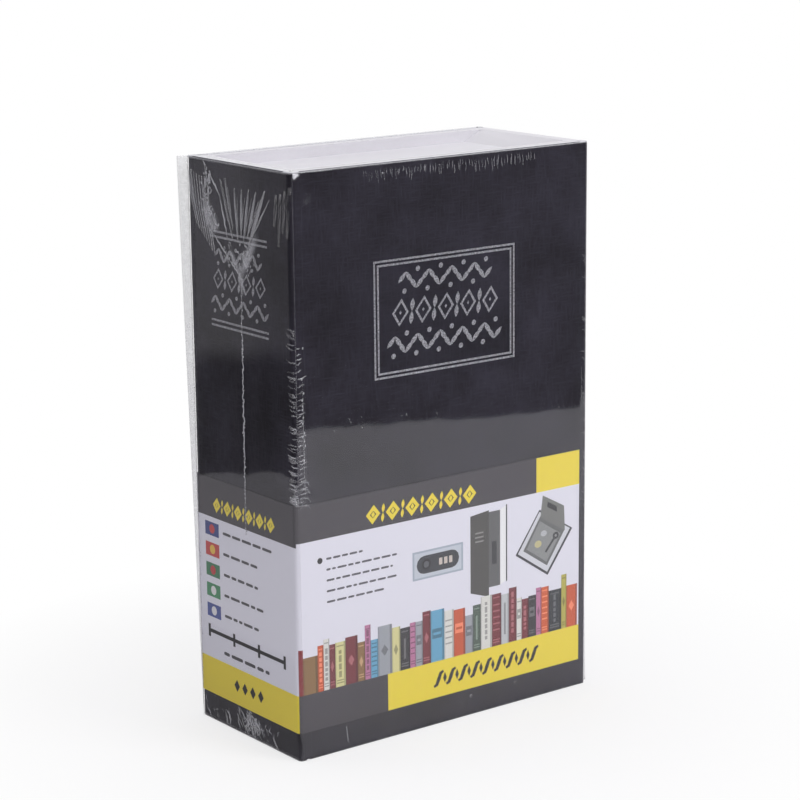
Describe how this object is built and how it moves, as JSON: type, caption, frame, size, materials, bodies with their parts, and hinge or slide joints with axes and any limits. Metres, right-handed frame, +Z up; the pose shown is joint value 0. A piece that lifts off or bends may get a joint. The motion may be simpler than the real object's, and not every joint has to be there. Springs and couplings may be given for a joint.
{
  "type": "book diversion safe",
  "caption": "Hard-cover book with a steel cash box and a combination lock hidden in its moulded page block, with a printed paper band round it.",
  "frame": {"origin": "middle of the footprint at the tail, where the book stands", "axes": "+Z up from tail to head, spine at -X, fore-edge at +X, front cover faces -Y"},
  "size_m": [0.115, 0.055, 0.18],
  "materials": {
    "book_cloth": "fine-grained black book cloth",
    "grey_board": "grey book board",
    "white_paper": "matte",
    "band_paper": "printed, coated",
    "page_white": "satin white moulding",
    "grey_enamel": "grey powder coat",
    "dark_casting": "satin dark grey",
    "black_plastic": "gloss black",
    "bright_steel": "zinc plated"
  },
  "bodies": {
    "book_body": {"spine_board": "grey_board", "back_board": "grey_board", "spine_back_cloth": "book_cloth", "front_joint_cloth": "book_cloth", "back_endpaper": "white_paper", "band_spine_back": "band_paper", "page_block": "page_white", "box_tray": "grey_enamel", "hinge_pin": "bright_steel", "strike_bracket": "bright_steel", "tray_screw_1": "bright_steel", "tray_screw_2": "bright_steel", "tray_screw_3": "bright_steel", "tray_screw_4": "bright_steel"},
    "front_cover": {"front_board": "grey_board", "front_cover_cloth": "book_cloth", "front_endpaper": "white_paper", "band_front": "band_paper"},
    "lid": {"box_lid": "grey_enamel", "lock_bezel": "dark_casting", "lock_case": "dark_casting", "wheel_axle": "bright_steel", "detent_spring": "bright_steel", "lock_screw_1": "bright_steel", "lock_screw_2": "bright_steel"},
    "latch": {"knob": "dark_casting", "latch_cam": "bright_steel", "cam_nut": "bright_steel"},
    "wheel_1": {"number_wheel_1": "black_plastic"},
    "wheel_2": {"number_wheel_2": "black_plastic"},
    "wheel_3": {"number_wheel_3": "black_plastic"},
    "reset": {"reset_slider": "bright_steel"}
  },
  "joints": [
    {"name": "cover_hinge", "type": "hinge", "parent": "book_body", "child": "front_cover", "pos_m": [-0.0543, -0.02765, 0.09], "axis": [0, 0, -1], "range_deg": [0, 180], "deforming": ["front_joint_cloth"]},
    {"name": "lid_hinge", "type": "hinge", "parent": "book_body", "child": "lid", "pos_m": [-0.0482, -0.018, 0.09], "axis": [0, 0, -1], "range_deg": [0, 105]},
    {"name": "latch_turn", "type": "hinge", "parent": "lid", "child": "latch", "pos_m": [0.035, -0.0182, 0.071], "axis": [0, 1, 0], "range_deg": [0, 90]},
    {"name": "wheel_1_spin", "type": "hinge", "parent": "lid", "child": "wheel_1", "pos_m": [0.035, -0.0129, 0.0867], "axis": [0, 0, 1], "continuous": true},
    {"name": "wheel_2_spin", "type": "hinge", "parent": "lid", "child": "wheel_2", "pos_m": [0.035, -0.0129, 0.0928], "axis": [0, 0, 1], "continuous": true},
    {"name": "wheel_3_spin", "type": "hinge", "parent": "lid", "child": "wheel_3", "pos_m": [0.035, -0.0129, 0.0989], "axis": [0, 0, 1], "continuous": true},
    {"name": "reset_slide", "type": "slide", "parent": "lid", "child": "reset", "axis": [0, 0, 1], "range_m": [0, 0.003]}
  ],
  "couplings": [
    {"joint": "lid_hinge", "follows": "cover_hinge", "ratio": 0.5833}
  ]
}
